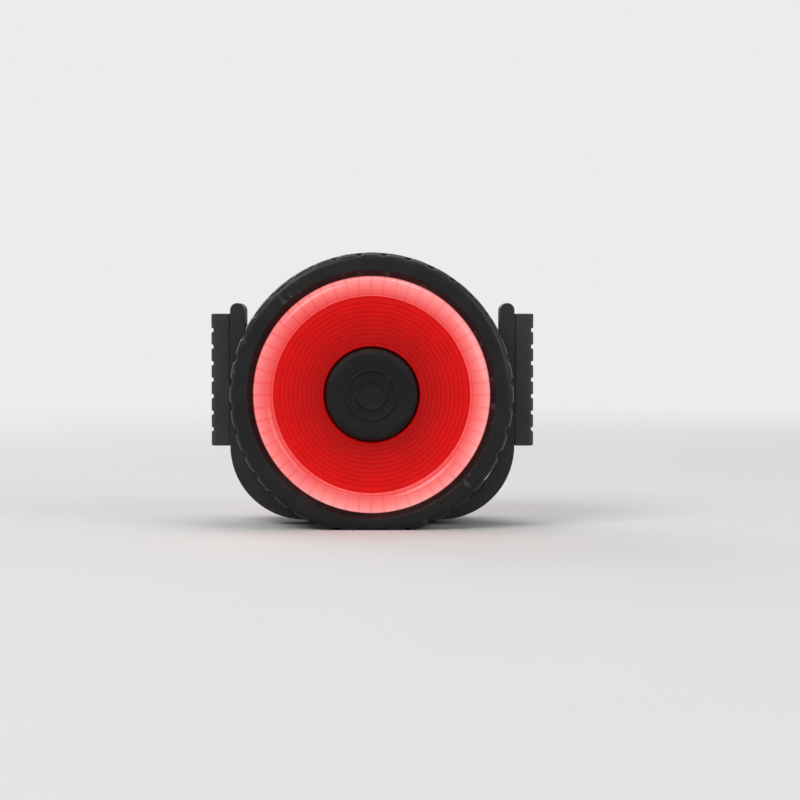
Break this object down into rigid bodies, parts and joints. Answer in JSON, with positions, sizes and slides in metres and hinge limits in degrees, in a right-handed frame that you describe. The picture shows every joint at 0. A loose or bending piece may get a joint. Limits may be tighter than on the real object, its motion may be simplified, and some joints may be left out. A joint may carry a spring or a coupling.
{
  "type": "spoke wheel light",
  "caption": "Round two-sided bicycle spoke light with a lit ring lens on each face, a push button, a quarter-turn battery cap and sprung arms that grip the spokes.",
  "frame": {"origin": "middle of the flat that the lamp stands on, under the lens axis", "axes": "+Z towards the wheel rim, -Y out of the front lens, +X along the wheel's circumference"},
  "size_m": [0.0488, 0.027, 0.041],
  "materials": {
    "shell": "fine spark-eroded texture, black",
    "bezel": "satin black",
    "lens": "clear red, lit",
    "seal": "silicone",
    "reflector": "white",
    "board": "solder mask",
    "led": "moulded package",
    "chip": "moulded epoxy",
    "passive": "ceramic",
    "contact": "sprung strip",
    "button": "soft touch",
    "cradle": "moulded",
    "cell": "nickel plated can",
    "cap": "satin black",
    "steel": "stainless",
    "arm": "glass-filled nylon",
    "grip": "soft rubber"
  },
  "bodies": {
    "housing": {"front_shell": "shell", "rear_shell": "shell", "front_bezel": "bezel", "rear_bezel": "bezel", "front_lens": "lens", "rear_lens": "lens", "front_lens_gasket": "seal", "rear_lens_gasket": "seal", "front_reflector": "reflector", "rear_reflector": "reflector", "main_board": "board", "rear_board": "board", "front_leds": "led", "rear_leds": "led", "driver_chip": "chip", "board_passives": "passive", "link_pins": "contact", "switch_body": "chip", "battery_cradle": "cradle", "front_cell": "cell", "rear_cell": "cell", "negative_contact": "contact", "positive_contact": "contact", "core_seal": "seal", "cradle_seal": "seal", "case_screws": "steel", "arm_pins": "steel", "left_spring": "steel", "right_spring": "steel"},
    "push_button": {"button": "button", "button_seal": "seal", "switch_plunger": "chip"},
    "battery_lid": {"battery_cap": "cap", "cap_seal": "seal"},
    "left_spoke_arm": {"left_arm": "arm", "left_grip": "grip"},
    "right_spoke_arm": {"right_arm": "arm", "right_grip": "grip"}
  },
  "joints": [
    {"name": "button_press", "type": "slide", "parent": "housing", "child": "push_button", "axis": [0, 1, 0], "range_m": [0, 0.0004], "stiffness_N_per_m": 2500, "springref_m": -0.0004},
    {"name": "battery_cap_turn", "type": "hinge", "parent": "housing", "child": "battery_lid", "pos_m": [0, 0.0105, 0.02], "axis": [0, 1, 0], "range_deg": [0, 60]},
    {"name": "left_arm_squeeze", "type": "hinge", "parent": "housing", "child": "left_spoke_arm", "pos_m": [-0.00848, 0, 0.003], "axis": [0, 1, 0], "range_deg": [0, 10], "stiffness_Nm_per_rad": 0.2, "springref_deg": -20.05, "deforming": ["left_spring"]},
    {"name": "right_arm_squeeze", "type": "hinge", "parent": "housing", "child": "right_spoke_arm", "pos_m": [0.00848, 0, 0.003], "axis": [0, -1, 0], "range_deg": [0, 10], "stiffness_Nm_per_rad": 0.2, "springref_deg": -20.05, "deforming": ["right_spring"]}
  ]
}
